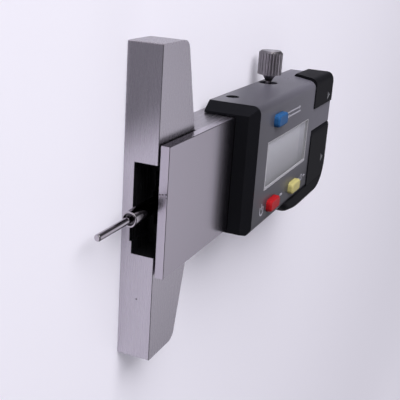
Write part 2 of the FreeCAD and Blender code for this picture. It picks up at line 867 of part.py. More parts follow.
def make_key_mat(label, places, left, right, y):
    """A rubber strip with a dome under each stem."""
    body = new_body(label)
    block(body, "strip", (left, right), (y + " - mat_width / 2", y + " + mat_width / 2"),
          ("board_high", "board_high + mat_thickness"))
    discs(body, "domes", places, "dome_diameter", "board_high + mat_thickness",
          "board_high + mat_thickness + dome_height")


def make_back_shell():
    """The black moulded body: saddle over the frame, electronics bay, thumb rest, cover seats."""
    body = new_body("back_shell")
    inset = "cover_skin + skin_play"
    end = "housing_end - (%s)" % inset
    top = "housing_top - (%s)" % inset
    low = "housing_bottom + (%s)" % inset
    block(body, "core", ("cap_end", end), (low, top), ("housing_back", "shell_front"))
    fillet(body, "core_corner", "housing_corner - cover_skin",
           lambda box: upright(box) and near(box.XMax, end) and near(box.YMax, top))
    round_front(body, "core_edges", "housing_round - cover_skin", "cap_end", inset)
    rest = new_sketch(body, "thumb_rest", "XY_Plane", "housing_back")
    step_x, step_y = "covers_start + skin_play", "grey_edge - skin_play"
    shoulder = "battery_cover_top - skin_play"
    draw_outline(rest, [
        ("thumb_start + skin_play", step_y),
        ("thumb_heel_x", "thumb_heel_y"),
        ("thumb_level_x", "thumb_bottom"),
        ("housing_end", "thumb_bottom"),
        ("housing_end", shoulder),
        (step_x, shoulder),
        (step_x, step_y),
    ])
    pad(body, rest, "black_front - housing_back")
    for name, x, y, radius in (("corner", "housing_end", "thumb_bottom", "thumb_corner"),
                               ("heel", "thumb_heel_x", "thumb_heel_y", "thumb_heel_round"),
                               ("level", "thumb_level_x", "thumb_bottom", "thumb_level_round")):
        fillet(body, "thumb_" + name, radius,
               lambda box: upright(box) and near(box.XMax, x) and near(box.YMin, y))
    fillet(body, "thumb_edges", "housing_round",
           lambda box: near(box.ZMin, "black_front") and near(box.ZMax, "black_front")
           and not near(box.XMax, step_x) and not near(box.YMin, step_y) and not near(box.YMax, shoulder)
           or near(box.ZMin, "black_front") and near(box.XMax, "housing_end")
           and near(box.YMax, shoulder))
    cavity(body, "thumb_back", ("thumb_start", "housing_end"), ("thumb_bottom", "housing_bottom"),
           ("housing_back", "thumb_back"))
    cover_seats(body)
    neck_opening(body, "plate_length + neck_play")
    half = "neck_width / 2 + neck_play"
    cavity(body, "saddle", ("cap_end", "frame_end + neck_play"), ("-(%s)" % half, half),
           ("housing_back", "deck"))
    beam_exit(body)
    cavity(body, "board_bay", ("bay_start - neck_play", "bay_end + neck_play"), ("-(%s)" % half, half),
           ("deck", "board_high"))
    rim = "neck_width / 2 - ledge_width"
    ledge_high = "board_high + ledge_thickness"
    cavity(body, "bay_opening", ("bay_start + ledge_width", "bay_end - ledge_width"), ("-(%s)" % rim, rim),
           ("board_high", ledge_high))
    cavity(body, "bay", ("bay_start", "bay_end"), (low + " + shell_wall", top + " - shell_wall"),
           (ledge_high, "shell_front"))
    bore_up(body, "battery_well", [("battery_x", "battery_y")], "battery_diameter + 2 * battery_play",
            "battery_low - contact_thickness", "cover_inside")
    contact_x = "battery_x + battery_diameter / 2"
    cavity(body, "contact_seat", (contact_x, contact_x + " + battery_play + 2 * contact_thickness"),
           ("battery_y - contact_width / 2 - battery_play", "battery_y + contact_width / 2 + battery_play"),
           ("battery_low - contact_thickness", "cover_inside"))
    cavity(body, "port_well", ("port_x - port_length / 2", "port_x + port_length / 2"),
           ("port_y - port_width / 2", "port_y + port_width / 2"),
           ("cover_inside - cover_play - port_depth", "cover_inside - cover_play"))
    tapped_holes(body, HOUSING_SCREWS, "deck", "deck + small_screw_bite + screw_fit")
    bore_across(body, "lock_hole", "lock_place", "lock_hole_diameter", half, top)
    bore_across(body, "gib_hole", "gib_screw_place", "gib_access_diameter", half, top)


def cover_seats(body):
    """The recesses that the battery and port covers slide into."""
    left = "covers_start - cover_play"
    inner = "cover_inside - cover_play"
    end = "housing_end - cover_wall - cover_play"
    low, high = "grey_edge - cover_play", "battery_cover_top + cover_play"
    cavity(body, "battery_seat", (left, "housing_end"), (low, high), (inner, "black_front"))
    cavity(body, "battery_end", (end, "housing_end"), ("battery_end_side - cover_play", high),
           ("cover_end_low - cover_play", inner))
    low, high = "port_cover_low - cover_play", "housing_top"
    cavity(body, "port_seat", (left, "housing_end"), (low, high), (inner, "housing_front"))
    cavity(body, "port_end", (end, "housing_end"), (low, high), ("cover_end_low - cover_play", inner))
    port_cut(body, "port_top", "cover_play", "housing_top - cover_wall - cover_play", "housing_top")


def make_battery_cover():
    """The battery cover: front plate and end flange with the housing's large corner."""
    body = new_body("battery_cover")
    left, high = "covers_start + cover_play", "battery_cover_top - cover_play"
    block(body, "form", (left, "housing_end"), ("thumb_bottom", high), ("cover_end_low", "black_front"))
    fillet(body, "corner", "thumb_corner",
           lambda box: upright(box) and near(box.XMax, "housing_end") and near(box.YMin, "thumb_bottom"))
    fillet(body, "edges", "housing_round",
           lambda box: near(box.ZMin, "black_front") and near(box.XMax, "housing_end")
           and near(box.YMax, high))
    cavity(body, "inside", (left, "housing_end - cover_wall"), ("thumb_bottom", high),
           ("cover_end_low", "cover_inside"))
    cavity(body, "lower_side", (left, "housing_end"), ("thumb_bottom", "grey_edge"),
           ("cover_end_low", "black_front"))
    cavity(body, "end_side", ("housing_end - cover_wall", "housing_end"), ("grey_edge", "battery_end_side"),
           ("cover_end_low", "cover_inside"))
    slide_mark(body, "battery_mark_y")


def make_port_cover():
    """The port cover: front plate, top plate with a slanting side, and end flange."""
    body = new_body("port_cover")
    left, low = "covers_start + cover_play", "port_cover_low + cover_play"
    back = "port_cover_back + cover_play"
    side = new_sketch(body, "form", "XZ_Plane", "-(%s)" % low)
    draw_outline(side, [
        (left, "black_front"),
        (left, "cover_inside"),
        (left + " + port_cover_slant", back),
        ("housing_end", back),
        ("housing_end", "black_front"),
    ])
    pad(body, side, "port_top - (%s)" % low, reverse=True)
    fillet(body, "corner", "housing_corner",
           lambda box: upright(box) and near(box.XMax, "housing_end") and near(box.YMax, "port_top"))
    fillet(body, "edges", "housing_round",
           lambda box: near(box.ZMin, "black_front")
           and (near(box.YMin, "port_top") or near(box.XMin, "housing_end")))
    chamfer(body, "bevel", "port_bevel",
            lambda box: near(box.YMin, "port_top") and near(box.ZMin, back) and near(box.ZMax, back))
    cavity(body, "inside", (left, "housing_end - cover_wall"), (low, "housing_top - cover_wall"),
           (back, "cover_inside"))
    cavity(body, "end_low", ("housing_end - cover_wall", "housing_end"), (low, "housing_top - cover_wall"),
           (back, "cover_end_low"))
    slide_mark(body, "port_mark_y")


def slide_mark(body, y):
    """The arrow sunk near a cover's outer end, pointing the way that the cover slides off."""
    sketch = new_sketch(body, "arrow", "XY_Plane", "black_front")
    draw_outline(sketch, [
        ("mark_x - mark_length / 2", "%s - mark_width / 2" % y),
        ("mark_x + mark_length / 2", y),
        ("mark_x - mark_length / 2", "%s + mark_width / 2" % y),
    ])
    pocket(body, sketch, "mark_depth")


def make_battery():
    """The coin cell."""
    body = new_body("battery")
    discs(body, "cell", [("battery_x", "battery_y")], "battery_diameter", "battery_low",
          "battery_low + battery_thickness - cell_step")
    discs(body, "lid", [("battery_x", "battery_y")], "battery_diameter - 4 * cell_step",
          "battery_low + battery_thickness - cell_step", "battery_low + battery_thickness")


def make_lower_contact():
    """The spring strip under the cell."""
    body = new_body("lower_contact")
    block(body, "strip", ("battery_x - 2 * contact_width", "battery_x + contact_width"),
          ("battery_y - contact_width / 2", "battery_y + contact_width / 2"),
          ("battery_low - contact_thickness", "battery_low"))


def make_side_contact():
    """The upright strip at the cell's rim."""
    body = new_body("side_contact")
    start = "battery_x + battery_diameter / 2 + battery_play"
    block(body, "strip", (start, start + " + contact_thickness"),
          ("battery_y - contact_width / 2", "battery_y + contact_width / 2"),
          ("battery_low - contact_thickness", "battery_low + battery_thickness"))


def make_port_pads():
    """The gilt pads of the data port."""
    body = new_body("port_pads")
    floor = "cover_inside - cover_play - port_depth"
    sketch = new_sketch(body, "pads", "XY_Plane", floor)
    for index in range(PORT_PADS):
        middle = "port_x + (%d - %g) * port_pad_pitch" % (index, (PORT_PADS - 1) / 2)
        rectangle(sketch, middle + " - port_pad_width / 2", "port_y - port_width / 2 + port_pad_width",
                  middle + " + port_pad_width / 2", "port_y + port_width / 2 - port_pad_width")
    pad(body, sketch, "port_pad_thickness")


def make_circuit_board():
    """The board that reads the beam's strip."""
    body = new_body("circuit_board")
    half = "neck_width / 2 - board_edge"
    block(body, "board", ("bay_start", "bay_end"), ("-(%s)" % half, half), ("board_low", "board_high"))


def make_display():
    """The display's frame, its glass and the clear window over it."""
    border = "display_border"
    x_sides = ("window_left - " + border, "window_right + " + border)
    y_sides = ("window_low - " + border, "window_high + " + border)
    glass_low = "display_high - display_thickness"
    frame = new_body("display_frame")
    block(frame, "ring", x_sides, y_sides, ("board_high", glass_low))
    wall = " + holder_wall", " - holder_wall"
    cavity(frame, "inside", (x_sides[0] + wall[0], x_sides[1] + wall[1]),
           (y_sides[0] + wall[0], y_sides[1] + wall[1]), ("board_high", glass_low))
    glass = new_body("display_glass")
    block(glass, "plate", x_sides, y_sides, (glass_low, "display_high"))
    window = new_body("window")
    block(window, "plate", ("window_left + window_play", "window_right - window_play"),
          ("window_low + window_play", "window_high - window_play"),
          ("display_high", "display_high + window_thickness"))


make_base_block()
make_neck_frame()
make_front_plate()
make_screws("base_screws", BASE_SCREWS, "frame_thickness - base_screw_cover - screw_fit")
make_screws("plate_screws", PLATE_SCREWS, "frame_thickness + plate_screw_bite - screw_fit")
make_slide_beam()
make_beam_scale()
make_beam_stop()
make_stop_screws()
make_needle_holder()
make_needle()
make_gib_strip()
make_gib_screw()
make_lock_pad()
make_lock_screw()
make_end_cap()
make_front_cover()
make_back_shell()
make_screws("housing_screws", HOUSING_SCREWS, "deck + small_screw_bite")
make_circuit_board()
make_display()
for label, x, y in key_places():
    make_key(label, x, y)
make_key_mat("upper_key_mat", [("upper_key_x", "upper_key_y")], "upper_key_x - key_length / 2",
             "upper_key_x + key_length / 2", "upper_key_y")
make_key_mat("lower_key_mat", [("lower_key_x", "lower_key_y"), ("zero_key_x", "lower_key_y")],
             "lower_key_x - key_length / 2", "zero_key_x + key_length / 2", "lower_key_y")
make_battery()
make_lower_contact()
make_side_contact()
make_port_pads()
make_battery_cover()
make_port_cover()

failed = [item.Name for item in doc.Objects if "Invalid" in item.State or "Error" in item.State]
failed += [body.Label for body in parts if body.Shape.isNull() or not body.Shape.isValid()]
if failed:
    raise ValueError("failed: " + ", ".join(failed))
for body in parts:
    body.Shape.exportStep(os.path.join("parts", body.Label + ".step"))
    print(body.Label, len(body.Shape.Solids), round(body.Shape.Volume, 1))
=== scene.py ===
# %% [markdown]
# A digital pit depth gauge, lying on its back. Its steel base stands on the work across a pit, and a
# thin needle on a sliding beam reaches down into it. The CAD model is loaded first and stays as it
# is: every length below is read from it or written in millimetres.

# %% Load the frame
import json
import math
import bmesh
import bpy
from mathutils import Matrix, Vector


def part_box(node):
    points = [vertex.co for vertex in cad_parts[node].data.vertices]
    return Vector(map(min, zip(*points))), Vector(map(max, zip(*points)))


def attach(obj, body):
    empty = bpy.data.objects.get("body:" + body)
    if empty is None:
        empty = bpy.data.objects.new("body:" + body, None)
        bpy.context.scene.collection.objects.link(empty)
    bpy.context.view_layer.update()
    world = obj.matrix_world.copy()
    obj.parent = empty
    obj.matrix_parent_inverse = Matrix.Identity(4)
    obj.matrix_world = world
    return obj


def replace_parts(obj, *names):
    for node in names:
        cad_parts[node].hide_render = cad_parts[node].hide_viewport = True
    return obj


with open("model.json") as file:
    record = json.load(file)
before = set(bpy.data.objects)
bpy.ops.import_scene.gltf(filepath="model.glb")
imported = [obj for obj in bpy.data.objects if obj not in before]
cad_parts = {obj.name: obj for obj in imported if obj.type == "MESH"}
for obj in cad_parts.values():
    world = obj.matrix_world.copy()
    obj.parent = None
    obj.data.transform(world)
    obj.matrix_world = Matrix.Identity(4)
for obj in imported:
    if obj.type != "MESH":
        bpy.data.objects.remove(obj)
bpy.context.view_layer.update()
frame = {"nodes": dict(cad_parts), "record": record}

MM = 0.001
scene = bpy.context.scene
record = frame["record"]
body_of = {node: body for body, nodes in record["behaviour"]["bodies"].items() for node in nodes}
slot_of = {piece["node"]: piece["material_slot"] for piece in record["subparts"]}

# %% [markdown]
# The camera comes first. The photograph looks along the needle from beside the measuring face,
# rolled so that the base stands upright in the picture. Three directions fix it: where it stands,
# where it looks and which way is up.

# %% Place the camera
CAMERA_PLACE = Vector((-269.74, 75.71, 105.97)) * MM
CAMERA_FORWARD = Vector((0.8756, -0.3140, -0.3672)).normalized()
CAMERA_UP = Vector((0.2626, 0.9472, -0.1838))
CAMERA_ANGLE = 29.56

right = CAMERA_FORWARD.cross(CAMERA_UP).normalized()
upward = right.cross(CAMERA_FORWARD)
turn = Matrix((right, upward, -CAMERA_FORWARD)).transposed()
camera = bpy.data.objects.new("camera", bpy.data.cameras.new("camera"))
camera.matrix_world = Matrix.Translation(CAMERA_PLACE) @ turn.to_4x4()
camera.data.angle = math.radians(CAMERA_ANGLE)
camera.data.clip_start = 0.01
scene.collection.objects.link(camera)
scene.camera = camera
print("camera stands", round(CAMERA_PLACE.length * 1000), "mm from the gauge's middle")

# %% [markdown]
# A node group is a small tool that many materials can share. These helpers make one, and a
# material with its Principled shader, so that each finish below is only a few lines.

# %% Helpers for groups and materials
def new_group(name, inputs, outputs):
    """An empty shader group with its named sockets."""
    group = bpy.data.node_groups.new(name, "ShaderNodeTree")
    for label, kind, value in inputs:
        socket = group.interface.new_socket(label, in_out="INPUT", socket_type=kind)
        socket.default_value = value
    for label, kind in outputs:
        group.interface.new_socket(label, in_out="OUTPUT", socket_type=kind)
    return group, group.nodes.new("NodeGroupInput"), group.nodes.new("NodeGroupOutput")


def add(tree, kind, **settings):
    """A node with its settings; a name that is an input sets that input's value."""
    node = tree.nodes.new(kind)
    for name, value in settings.items():
        if hasattr(node, name):
            setattr(node, name, value)
        else:
            node.inputs[name.replace("_", " ")].default_value = value
    return node


def use_group(tree, group, **values):
    """One use of a group with its own values."""
    node = tree.nodes.new("ShaderNodeGroup")
    node.node_tree = group
    for name, value in values.items():
        node.inputs[name.replace("_", " ")].default_value = value
    return node


def new_material(name, colour, metallic=0.0, roughness=0.5, **sockets):
    """A material with constant values on its Principled shader."""
    material = bpy.data.materials.new(name)
    material.use_nodes = True
    tree = material.node_tree
    shader = tree.nodes["Principled BSDF"]
    shader.inputs["Base Color"].default_value = (*colour, 1)
    shader.inputs["Metallic"].default_value = metallic
    shader.inputs["Roughness"].default_value = roughness
    for socket, value in sockets.items():
        shader.inputs[socket.replace("_", " ")].default_value = value
    return material, tree, shader


FLOAT, VECTOR = "NodeSocketFloat", "NodeSocketVector"
print("helpers ready")

# %% [markdown]
# Ground steel shows long fine streaks that the grinding wheel left. Noise that is stretched nearly
# a hundred times along one direction looks the same, and it drives roughness, shade and a faint
# bump together, as one real scratch does.

# %% Group: ground grain
def make_grain():
    group, inside, outside = new_group(
        "ground_grain",
        [("Stretch", VECTOR, (1, 1, 1)), ("Low", FLOAT, 0.35), ("High", FLOAT, 0.65)],
        [("Streaks", FLOAT), ("Patches", FLOAT)])
    place = add(group, "ShaderNodeTexCoord")
    scale = add(group, "ShaderNodeVectorMath", operation="MULTIPLY")
    fine = add(group, "ShaderNodeTexNoise", Scale=6000.0, Detail=2.0, Roughness=0.6)
    spread = add(group, "ShaderNodeMapRange", clamp=True)
    broad = add(group, "ShaderNodeTexNoise", Scale=38.0, Detail=2.0)
    link = group.links.new
    link(place.outputs["Object"], scale.inputs[0])
    link(inside.outputs["Stretch"], scale.inputs[1])
    link(scale.outputs["Vector"], fine.inputs["Vector"])
    link(place.outputs["Object"], broad.inputs["Vector"])
    link(fine.outputs["Fac"], spread.inputs["Value"])
    link(inside.outputs["Low"], spread.inputs["From Min"])
    link(inside.outputs["High"], spread.inputs["From Max"])
    link(spread.outputs["Result"], outside.inputs["Streaks"])
    link(broad.outputs["Fac"], outside.inputs["Patches"])
    return group


GRAIN = make_grain()
print("group", GRAIN.name)

# %% [markdown]
# Moulded plastic and baked paint have a skin of tiny pits. One fine noise gives their height, and
# a broad one the slight unevenness of their gloss and shade.

# %% Group: moulded skin
def make_skin():
    group, inside, outside = new_group(
        "moulded_skin", [("Pit size", FLOAT, 0.3)], [("Height", FLOAT), ("Unevenness", FLOAT)])
    place = add(group, "ShaderNodeTexCoord")
    scale = add(group, "ShaderNodeMath", operation="DIVIDE")
    scale.inputs[0].default_value = 1000.0
    fine = add(group, "ShaderNodeTexNoise", Detail=3.0)
    broad = add(group, "ShaderNodeTexNoise", Scale=60.0, Detail=4.0)
    link = group.links.new
    link(inside.outputs["Pit size"], scale.inputs[1])
    link(scale.outputs["Value"], fine.inputs["Scale"])
    link(place.outputs["Object"], fine.inputs["Vector"])
    link(place.outputs["Object"], broad.inputs["Vector"])
    link(fine.outputs["Fac"], outside.inputs["Height"])
    link(broad.outputs["Fac"], outside.inputs["Unevenness"])
    return group


SKIN = make_skin()
print("group", SKIN.name)

# %% [markdown]
# Some finishes change at a place on the piece: the slot gets painted shade, an arrow is filled with
# pale paint. A box mask is 1 inside two corners and 0 outside, with a soft edge if one is wanted.

# %% Group: box mask
def make_box_mask():
    group, inside, outside = new_group(
        "box_mask",
        [("Low", VECTOR, (0, 0, 0)), ("High", VECTOR, (1, 1, 1)), ("Softness", FLOAT, 1e-5)],
        [("Inside", FLOAT)])
    place = add(group, "ShaderNodeTexCoord")
    link = group.links.new
    total = None
    for corner, first, second in (("Low", place.outputs["Object"], inside.outputs["Low"]),
                                  ("High", inside.outputs["High"], place.outputs["Object"])):
        depth = add(group, "ShaderNodeVectorMath", operation="SUBTRACT")
        link(first, depth.inputs[0])
        link(second, depth.inputs[1])
        parts = add(group, "ShaderNodeSeparateXYZ")
        link(depth.outputs["Vector"], parts.inputs["Vector"])
        for axis in "XYZ":
            if total is None:
                total = parts.outputs[axis]
                continue
            least = add(group, "ShaderNodeMath", operation="MINIMUM")
            link(total, least.inputs[0])
            link(parts.outputs[axis], least.inputs[1])
            total = least.outputs["Value"]
    edge = add(group, "ShaderNodeMath", operation="DIVIDE", use_clamp=True)
    link(total, edge.inputs[0])
    link(inside.outputs["Softness"], edge.inputs[1])
    link(edge.outputs["Value"], outside.inputs["Inside"])
    return group


BOX_MASK = make_box_mask()
print("group", BOX_MASK.name)

# %% [markdown]
# The finishes mix colours, spread a value over a range and raise a bump in the same few ways.
# These helpers wrap the nodes for that.

# %% Mixing helpers for the finishes
def mix_colour(tree, factor, first, second):
    """A colour between two, each a value or a socket."""
    node = add(tree, "ShaderNodeMix", data_type="RGBA")
    tree.links.new(factor, node.inputs["Factor"])
    for index, value in ((6, first), (7, second)):
        if isinstance(value, bpy.types.NodeSocket):
            tree.links.new(value, node.inputs[index])
        else:
            node.inputs[index].default_value = (*value, 1)
    return node.outputs[2]


def map_range(tree, value, low, high):
    """A 0 to 1 value spread from low to high."""
    node = add(tree, "ShaderNodeMapRange", To_Min=low, To_Max=high)
    tree.links.new(value, node.inputs["Value"])
    return node.outputs["Result"]


def bump(tree, shader, height, distance):
    """A bump of that real height in metres."""
    node = add(tree, "ShaderNodeBump", Strength=1.0, Distance=distance)
    tree.links.new(height, node.inputs["Height"])
    tree.links.new(node.outputs["Normal"], shader.inputs["Normal"])


def place_mask(tree, low, high, softness=1e-5):
    """The mask of a box given by two corners in metres."""
    node = use_group(tree, BOX_MASK, Low=low, High=high, Softness=softness)
    return node.outputs["Inside"]


print("mixing helpers ready")

# %% [markdown]
# Every steel face is ground or brushed along one direction. The slot gets painted shade: looking
# into it shows almost nothing, so its walls and what lies in it get a near-black colour and no
# shine. A few pits hold dirt, and a painted highlight runs along the base's front edge at the end on
# the lock screw's side.

# %% Finishes: steel
# Near black, painted as shade in the slot and in a hole.
PAINTED_SHADE_BLACK = (0.006, 0.006, 0.007)
PIT_COLOUR, PIT_SIZE, PIT_EDGE = (0.02, 0.015, 0.015), 0.28 * MM, 0.12 * MM
# Colour and soft edge of a painted highlight.
EDGE_HIGHLIGHT_COLOUR, EDGE_HIGHLIGHT_SOFTNESS = (0.95, 0.89, 0.94), 0.1 * MM


def ground_steel(name, dark, light, stretch, roughness, height, painted_shade=None, pits=(), painted_highlights=()):
    """Brushed steel with its streaks, pits of dirt, painted highlights along edges, and a box
    painted near black as shade.
    """
    material, tree, shader = new_material(name, light, metallic=1.0, roughness=roughness[0])
    grain = use_group(tree, GRAIN, Stretch=stretch)
    streaks = grain.outputs["Streaks"]
    colour = mix_colour(tree, streaks, dark, light)
    rough = map_range(tree, streaks, *roughness)
    for spot in pits:
        low, high = ([c * MM + side for c in spot] for side in (-PIT_SIZE, PIT_SIZE))
        colour = mix_colour(tree, place_mask(tree, low, high, PIT_EDGE), colour, PIT_COLOUR)
    # Painted highlights along edges.
    for low, high in painted_highlights:
        colour = mix_colour(tree, place_mask(tree, low, high, EDGE_HIGHLIGHT_SOFTNESS), colour, EDGE_HIGHLIGHT_COLOUR)
    # Painted shade: a box of near black with no shine.
    if painted_shade:
        mask = place_mask(tree, *painted_shade)
        colour = mix_colour(tree, mask, colour, PAINTED_SHADE_BLACK)
        bright = map_range(tree, mask, 1.0, 0.0)
        tree.links.new(bright, shader.inputs["Metallic"])
    tree.links.new(colour, shader.inputs["Base Color"])
    tree.links.new(rough, shader.inputs["Roughness"])
    bump(tree, shader, streaks, height)
    return material


SLOT_HALF = 14.75 * MM
base_low, base_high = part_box("base_block")
# Painted shade in the slot: its walls, the frame's tongue and the beam's nose are painted near
# black.
slot_shade = ((base_low.x + 0.2 * MM, -SLOT_HALF, 2.8 * MM),
              (base_high.x, SLOT_HALF, base_high.z - 0.02 * MM))
tongue_shade = ((base_low.x, -SLOT_HALF, 0.0), (base_high.x - 0.05 * MM, SLOT_HALF, 13 * MM))
beam_low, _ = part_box("slide_beam")
beam_nose_shade = ((beam_low.x - MM, -9 * MM, 0.0), (beam_low.x + 2 * MM, 9 * MM, 20 * MM))
# Painted highlight along the base's front edge at the end on the lock screw's side.
edge_highlight = ((base_low.x - MM, base_high.y - 0.35 * MM, -MM),
             (base_low.x + 0.35 * MM, base_high.y + MM, base_high.z + MM))
BASE_PITS = [(-77.95, -29.6, 6.2)]
PLATE_PITS = [(-77.95, 6.1, 12.6), (-77.95, 6.2, 13.5), (-77.95, 6.4, 14.6)]
ALONG_X, ALONG_Y = (0.012, 1.0, 1.0), (1.0, 0.012, 1.0)
base_steel = ground_steel("ground_steel", (0.52, 0.49, 0.54), (0.55, 0.52, 0.57), ALONG_Y,
                          (0.25, 0.29), 0.0000002, slot_shade, BASE_PITS, [edge_highlight])
frame_steel = ground_steel("frame_steel", (0.34, 0.32, 0.355), (0.37, 0.35, 0.385), ALONG_X,
                           (0.26, 0.30), 0.0000001, tongue_shade)
plate_steel = ground_steel("plate_steel", (0.49, 0.455, 0.51), (0.515, 0.48, 0.535), ALONG_Y,
                           (0.22, 0.26), 0.00000015, pits=PLATE_PITS)
beam_steel = ground_steel("beam_steel", (0.48, 0.47, 0.50), (0.54, 0.53, 0.56), ALONG_X,
                          (0.24, 0.32), 0.0000003, beam_nose_shade)
screw_steel = ground_steel("screw_steel", (0.30, 0.30, 0.32), (0.42, 0.42, 0.44), (1, 1, 1),
                           (0.28, 0.40), 0.000001)
print("steel finishes:", base_steel.name, frame_steel.name, plate_steel.name, beam_steel.name)

# %% [markdown]
# Chrome is a mirror with hardly any colour. The needle, its holder and the lock screw have it,
# with the faintest turning marks round them. Hardly any light reaches the holder's mouth and the
# sleeve behind it, deep in the slot, so both are darkened.

# %% Finishes: chrome and brass
CHROME_COLOUR = (0.52, 0.485, 0.52)
ROUND_X = (1.0, 0.1, 0.1)
DULLER = 0.26


def inside_bore(tree, height, radius):
    """1 within a radius of a line along X at that height, and 0 beyond it."""
    place = add(tree, "ShaderNodeTexCoord")
    offset = add(tree, "ShaderNodeVectorMath", operation="SUBTRACT")
    offset.inputs[1].default_value = (0, 0, height)
    tree.links.new(place.outputs["Object"], offset.inputs[0])
    across = add(tree, "ShaderNodeVectorMath", operation="MULTIPLY")
    across.inputs[1].default_value = (0, 1, 1)
    tree.links.new(offset.outputs["Vector"], across.inputs[0])
    length = add(tree, "ShaderNodeVectorMath", operation="LENGTH")
    tree.links.new(across.outputs["Vector"], length.inputs[0])
    node = add(tree, "ShaderNodeMapRange", From_Min=radius, From_Max=radius + 0.05 * MM,
               To_Min=1.0, To_Max=0.0)
    tree.links.new(length.outputs["Value"], node.inputs["Value"])
    return node.outputs["Result"]


def polished(name, colour, roughness, stretch, dull=None, dark=None, bore=None):
    """A polished metal with turning marks; a box may be duller, and a box or its bore dark."""
    material, tree, shader = new_material(name, colour, metallic=1.0, roughness=roughness)
    grain = use_group(tree, GRAIN, Stretch=stretch)
    shade = mix_colour(tree, grain.outputs["Streaks"], tuple(0.86 * c for c in colour), colour)
    unlit = [place_mask(tree, *dark)] if dark else []
    if bore:
        unlit.append(inside_bore(tree, *bore))
    for mask in unlit:
        shade = mix_colour(tree, mask, shade, tuple(0.15 * c for c in colour))
    tree.links.new(shade, shader.inputs["Base Color"])
    rough = map_range(tree, grain.outputs["Patches"], 0.7 * roughness, 1.4 * roughness)
    if dull:
        extra = map_range(tree, place_mask(tree, *dull), 0.0, DULLER)
        total = add(tree, "ShaderNodeMath", operation="ADD")
        tree.links.new(rough, total.inputs[0])
        tree.links.new(extra, total.inputs[1])
        rough = total.outputs["Value"]
    tree.links.new(rough, shader.inputs["Roughness"])
    bump(tree, shader, grain.outputs["Streaks"], 0.0000015)
    return material


holder_low, holder_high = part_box("needle_holder")
axis_z = (holder_low.z + holder_high.z) / 2
MOUTH = 1.9 * MM
sleeve = ((holder_low.x + 0.3 * MM, holder_low.y - 9 * MM, holder_low.z - 9 * MM),
          (holder_high.x + 9 * MM, holder_high.y + 9 * MM, holder_high.z + 9 * MM), 0.0028)
chrome = polished("chrome", CHROME_COLOUR, 0.06, ROUND_X, dull=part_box("lock_screw"))
holder_chrome = polished("holder_chrome", CHROME_COLOUR, 0.08, ROUND_X, dark=sleeve,
                         bore=(axis_z, MOUTH))
brass = polished("brass", (0.72, 0.54, 0.26), 0.28, (1.0, 0.05, 1.0))
gilt = polished("gilt", (0.80, 0.60, 0.24), 0.18, (1.0, 1.0, 1.0))
cell_metal = polished("cell_metal", (0.66, 0.66, 0.67), 0.24, (1.0, 1.0, 1.0))
print("polished finishes:", chrome.name, brass.name, gilt.name, cell_metal.name)

# %% [markdown]
# The housing is a grey painted cover over a black moulded shell. Paint and plastic differ in how
# sharply they mirror: paint and keys are satin, the cap and the two covers a little smoother than
# the dull shell. The cover's paint gets painted light towards its far end and painted shade towards
# its lower side.

# %% Finishes: paint and plastic
def moulded(name, colour, roughness, pit_size, height, marks_and_painted_light=(), **sockets):
    """Plastic or paint with its skin; marks are boxes of another colour, pale paint or painted light
    and shade.
    """
    material, tree, shader = new_material(name, colour, roughness=sum(roughness) / 2, **sockets)
    skin = use_group(tree, SKIN, Pit_size=pit_size)
    rough = map_range(tree, skin.outputs["Unevenness"], *roughness)
    tree.links.new(rough, shader.inputs["Roughness"])
    shade = mix_colour(tree, skin.outputs["Unevenness"], tuple(0.85 * c for c in colour),
                       tuple(min(1.0, 1.15 * c) for c in colour))
    for low, high, paint, *softness in marks_and_painted_light:
        shade = mix_colour(tree, place_mask(tree, low, high, *softness), shade, paint)
    tree.links.new(shade, shader.inputs["Base Color"])
    bump(tree, shader, skin.outputs["Height"], height)
    return material


def sunk_arrow(node):
    """The mark that fills a cover's sunk arrow with pale paint, up to just below its rim."""
    low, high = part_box(node)
    return ((high.x - 13 * MM, low.y + MM, high.z - 0.24 * MM),
            (high.x - 4 * MM, high.y - 3 * MM, high.z - 0.02 * MM), PALE_PAINT)


PALE_PAINT = (0.14, 0.14, 0.155)
cover_low, cover_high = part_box("front_cover")
gib_low, gib_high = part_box("gib_screw")
# Painted light towards the cover's far end, and painted shade towards its lower side.
far_end_light = ((cover_low.x, -0.2, -0.2), (0.3, 0.2, 0.2), (0.145, 0.139, 0.172), 0.1)
lower_side_shade = ((-0.2, -0.2, -0.2), (0.3, 0.0, 0.2), (0.045, 0.044, 0.054), 0.015)
# Painted shade: the hole round the gib screw in the cover's top is painted near black.
gib_hole_shade = ((gib_low.x - MM, cover_high.y - 3 * MM, gib_low.z - MM),
            (gib_high.x + MM, cover_high.y - 0.05 * MM, gib_high.z + MM), PAINTED_SHADE_BLACK)
grey_paint = moulded("grey_paint", (0.061, 0.059, 0.073), (0.25, 0.33), 0.35, 0.000002,
                     [far_end_light, lower_side_shade, gib_hole_shade], Specular_IOR_Level=0.25)
black_gloss = moulded("black_gloss", (0.008, 0.008, 0.010), (0.30, 0.36), 0.5, 0.000001,
                      [sunk_arrow("battery_cover"), sunk_arrow("port_cover")],
                      Specular_IOR_Level=0.02)
black_shell = moulded("black_shell", (0.009, 0.009, 0.011), (0.40, 0.50), 0.25, 0.000003,
                      Specular_IOR_Level=0.02)
stop_black = moulded("stop_black", (0.012, 0.012, 0.014), (0.4, 0.5), 0.3, 0.000004,
                     Specular_IOR_Level=0.3)
holder_white = moulded("holder_white", (0.62, 0.62, 0.60), (0.45, 0.55), 0.3, 0.000003)
board_green = moulded("board_green", (0.02, 0.13, 0.06), (0.25, 0.35), 0.5, 0.000002)
scale_dark = moulded("scale_dark", (0.05, 0.09, 0.07), (0.3, 0.4), 0.5, 0.000002)
mat_rubber = moulded("mat_rubber", (0.35, 0.35, 0.35), (0.6, 0.7), 0.3, 0.000006)
KEY_SKIN = ((0.28, 0.36), 0.5, 0.000001)
key_blue = moulded("key_blue", (0.018, 0.080, 0.215), *KEY_SKIN, Specular_IOR_Level=0.1)
